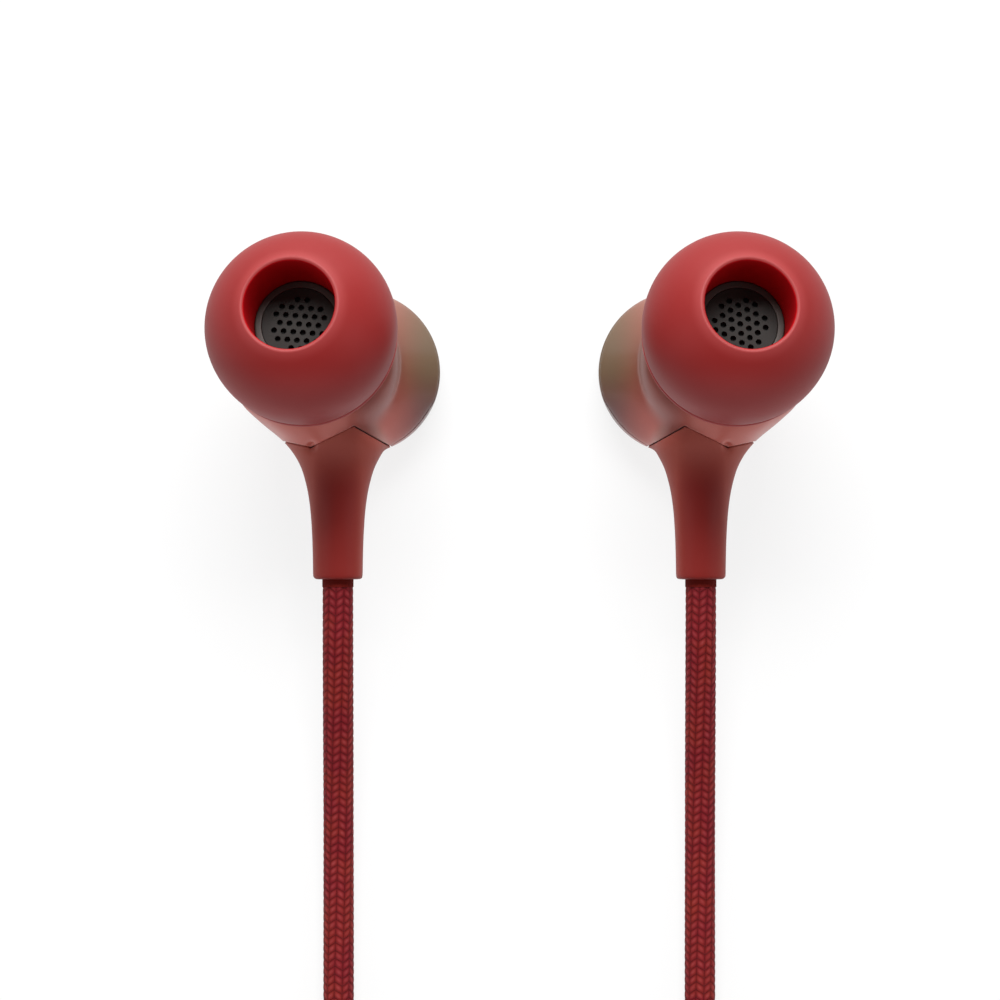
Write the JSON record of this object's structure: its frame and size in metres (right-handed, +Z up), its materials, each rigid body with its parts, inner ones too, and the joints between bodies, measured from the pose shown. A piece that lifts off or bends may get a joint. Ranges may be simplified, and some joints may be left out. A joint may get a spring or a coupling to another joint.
{
  "type": "wired earphones",
  "caption": "Wired in-ear earphones: angled buds with silicone tips, braided cords put away in tied hanks and a coil, splitter, one-button remote and jack plug.",
  "frame": {"origin": "on the surface that the buds lie on, midway between the two buds and midway along them", "axes": "+X to the right ear's bud, +Y away from the cords, +Z up out of the back discs towards the ear tips"},
  "size_m": [0.0412, 0.1803, 0.0196],
  "materials": {
    "silicone": "soft matte silicone",
    "housing": "pearlescent satin lacquer",
    "grille": "dark perforated sheet",
    "damper": "fine acoustic mesh",
    "back_disc": "brushed and anodised",
    "black_plastic": "moulded",
    "steel": "plain",
    "magnet": "sintered and plated",
    "copper": "enamelled wire",
    "film": "thin film",
    "board": "circuit board",
    "boot": "matte soft moulding",
    "cord": "braided polyester sleeve",
    "tie": "soft hook-and-loop strap",
    "button": "satin moulding",
    "contact": "plated"
  },
  "bodies": {
    "root": {"left_front_housing": "housing", "left_nozzle_grille": "grille", "left_acoustic_damper": "damper", "left_back_cover": "housing", "left_back_disc": "back_disc", "left_driver_frame": "black_plastic", "left_driver_yoke": "steel", "left_driver_magnet": "magnet", "left_driver_top_plate": "steel", "left_voice_coil": "copper", "left_diaphragm": "film", "left_terminal_board": "board", "left_stem_boot": "boot", "left_cord_knot": "cord", "left_ear_cord": "cord", "left_ear_cord_hank": "cord", "left_ear_cord_tail": "cord", "left_hank_tie": "tie", "right_front_housing": "housing", "right_nozzle_grille": "grille", "right_acoustic_damper": "damper", "right_back_cover": "housing", "right_back_disc": "back_disc", "right_driver_frame": "black_plastic", "right_driver_yoke": "steel", "right_driver_magnet": "magnet", "right_driver_top_plate": "steel", "right_voice_coil": "copper", "right_diaphragm": "film", "right_terminal_board": "board", "right_stem_boot": "boot", "right_cord_knot": "cord", "right_ear_cord": "cord", "right_ear_cord_hank": "cord", "right_ear_cord_tail": "cord", "right_hank_tie": "tie", "splitter_sleeve": "boot", "splitter_core": "film", "main_cord_top": "cord", "remote_back_shell": "boot", "remote_front_shell": "boot", "remote_board": "board", "remote_switch": "steel", "remote_microphone": "steel", "main_cord_middle": "cord", "main_cord_coil": "cord", "main_coil_tie": "tie", "main_cord_end": "cord", "plug_bend_relief": "boot", "plug_grip": "boot", "plug_sleeve_contact": "contact", "plug_ring_contacts": "contact", "plug_tip_contact": "contact", "plug_insulators": "black_plastic"},
    "left_tip": {"left_ear_tip": "silicone"},
    "right_tip": {"right_ear_tip": "silicone"},
    "button": {"remote_button": "button"}
  },
  "joints": [
    {"name": "left_tip_pull", "type": "slide", "parent": "root", "child": "left_tip", "axis": [-0.1391, 0.2852, 0.9483], "range_m": [0, 0.009]},
    {"name": "right_tip_pull", "type": "slide", "parent": "root", "child": "right_tip", "axis": [0.1391, 0.2852, 0.9483], "range_m": [0, 0.009]},
    {"name": "remote_button_press", "type": "slide", "parent": "root", "child": "button", "axis": [0, 0, -1], "range_m": [0, 0.00025], "stiffness_N_per_m": 800}
  ]
}
